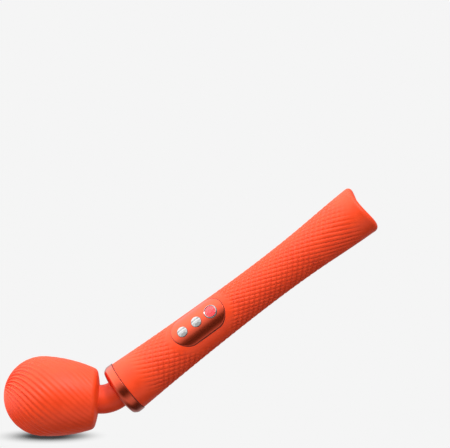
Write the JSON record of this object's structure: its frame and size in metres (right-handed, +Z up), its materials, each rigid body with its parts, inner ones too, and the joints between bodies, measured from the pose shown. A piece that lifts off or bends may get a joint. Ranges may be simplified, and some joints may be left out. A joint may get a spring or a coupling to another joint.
{
  "type": "handheld wand massager",
  "caption": "Cordless handheld massager: a ball-shaped ribbed silicone head on a short flexing neck, and a waisted grip with a metal collar and a push-button panel.",
  "frame": {"origin": "middle of the whole object's footprint box, on the surface that the underside of the head rests on", "axes": "+X from the head toward the handle's tail, along the length; +Y across, away from the control panel's side; +Z up"},
  "size_m": [0.2756, 0.059, 0.1832],
  "materials": {
    "silicone_orange": "matte",
    "anodised_orange": "satin",
    "seal_dark": "matte",
    "chromed_caps": "polished",
    "red_lens": "gloss",
    "keypad_rubber": "matte",
    "neck_rubber": "matte",
    "nylon_dark": "matte",
    "screw_steel": "satin",
    "motor_steel": "satin",
    "magnet": "satin",
    "copper": "satin",
    "bronze": "satin",
    "gold_plate": "polished",
    "nickel": "satin",
    "board_green": "satin",
    "chip_black": "matte",
    "lamp_white": "gloss",
    "cell_wrap": "satin",
    "lead_insulation": "satin"
  },
  "bodies": {
    "handle": {"handle_sleeve": "silicone_orange", "trim_ring": "anodised_orange", "ring_seal": "seal_dark", "control_panel": "anodised_orange", "panel_gasket": "seal_dark", "button_guide": "nylon_dark", "keypad_membrane": "keypad_rubber", "handle_shell_front": "nylon_dark", "handle_shell_rear": "nylon_dark", "handle_screws": "screw_steel", "neck_anchor": "nylon_dark", "neck_collar": "nylon_dark", "neck_anchor_screws": "screw_steel", "main_board": "board_green", "board_screws": "screw_steel", "tact_switches": "chip_black", "button_lamps": "lamp_white", "controller_chip": "chip_black", "motor_driver_chip": "chip_black", "board_capacitor": "chip_black", "lead_terminals": "nickel", "battery_cell": "cell_wrap", "battery_tabs": "nickel", "battery_tray": "nylon_dark", "battery_pads": "seal_dark", "charge_carrier": "nylon_dark", "charge_contacts": "gold_plate", "charge_magnets": "magnet", "battery_leads": "lead_insulation", "charge_leads": "lead_insulation", "neck_sleeve": "silicone_orange", "neck_core": "neck_rubber", "motor_leads": "lead_insulation"},
    "neck_rear": {"neck_guide_rear": "nylon_dark"},
    "neck_front": {"neck_guide_front": "nylon_dark"},
    "head": {"head_cover": "silicone_orange", "head_shell_front": "nylon_dark", "head_shell_back": "nylon_dark", "head_long_screws": "screw_steel", "neck_clamp_plate": "nylon_dark", "neck_clamp_screws": "screw_steel", "motor_can": "motor_steel", "motor_end_cap": "nylon_dark", "motor_terminals": "gold_plate", "motor_magnets": "magnet", "motor_brushes": "bronze", "motor_rear_bearing": "bronze", "motor_front_bearing": "bronze", "motor_bracket": "motor_steel", "motor_screws": "screw_steel", "motor_damper": "seal_dark"},
    "rotor": {"motor_shaft": "motor_steel", "motor_armature": "motor_steel", "motor_coils": "copper", "motor_commutator": "copper", "eccentric_weight": "bronze"},
    "minus_button": {"button_minus": "chromed_caps"},
    "plus_button": {"button_plus": "chromed_caps"},
    "power_button": {"button_power": "chromed_caps", "button_power_lens": "red_lens"}
  },
  "joints": [
    {"name": "neck_bend", "type": "hinge", "parent": "handle", "child": "neck_rear", "pos_m": [-0.05565, 0, 0.02989], "axis": [0, 1, 0], "range_deg": [-42.8, 2.5], "stiffness_Nm_per_rad": 2.4, "springref_deg": -20.3, "deforming": ["neck_sleeve", "neck_core", "motor_leads"]},
    {"name": "neck_sway", "type": "hinge", "parent": "neck_rear", "child": "neck_front", "pos_m": [-0.06032, 0, 0.02847], "axis": [-0.2907, 0, 0.9568], "range_deg": [-25, 25], "stiffness_Nm_per_rad": 1.2},
    {"name": "neck_bend_front", "type": "hinge", "parent": "neck_front", "child": "head", "pos_m": [-0.06499, 0, 0.02706], "axis": [0, 1, 0], "range_deg": [-42.8, 2.5], "stiffness_Nm_per_rad": 2.4, "springref_deg": -20.3},
    {"name": "rotor_spin", "type": "hinge", "parent": "head", "child": "rotor", "pos_m": [-0.09973, 0, 0.02912], "axis": [-0.9982, 0, 0.0593], "continuous": true},
    {"name": "press_minus", "type": "slide", "parent": "handle", "child": "minus_button", "axis": [0.3023, 0.866, -0.3983], "range_m": [0, 0.0006], "stiffness_N_per_m": 2000},
    {"name": "press_plus", "type": "slide", "parent": "handle", "child": "plus_button", "axis": [0.3023, 0.866, -0.3983], "range_m": [0, 0.0006], "stiffness_N_per_m": 2000},
    {"name": "press_power", "type": "slide", "parent": "handle", "child": "power_button", "axis": [0.3023, 0.866, -0.3983], "range_m": [0, 0.0006], "stiffness_N_per_m": 2000}
  ],
  "couplings": [
    {"joint": "neck_bend_front", "follows": "neck_bend", "ratio": 1}
  ]
}
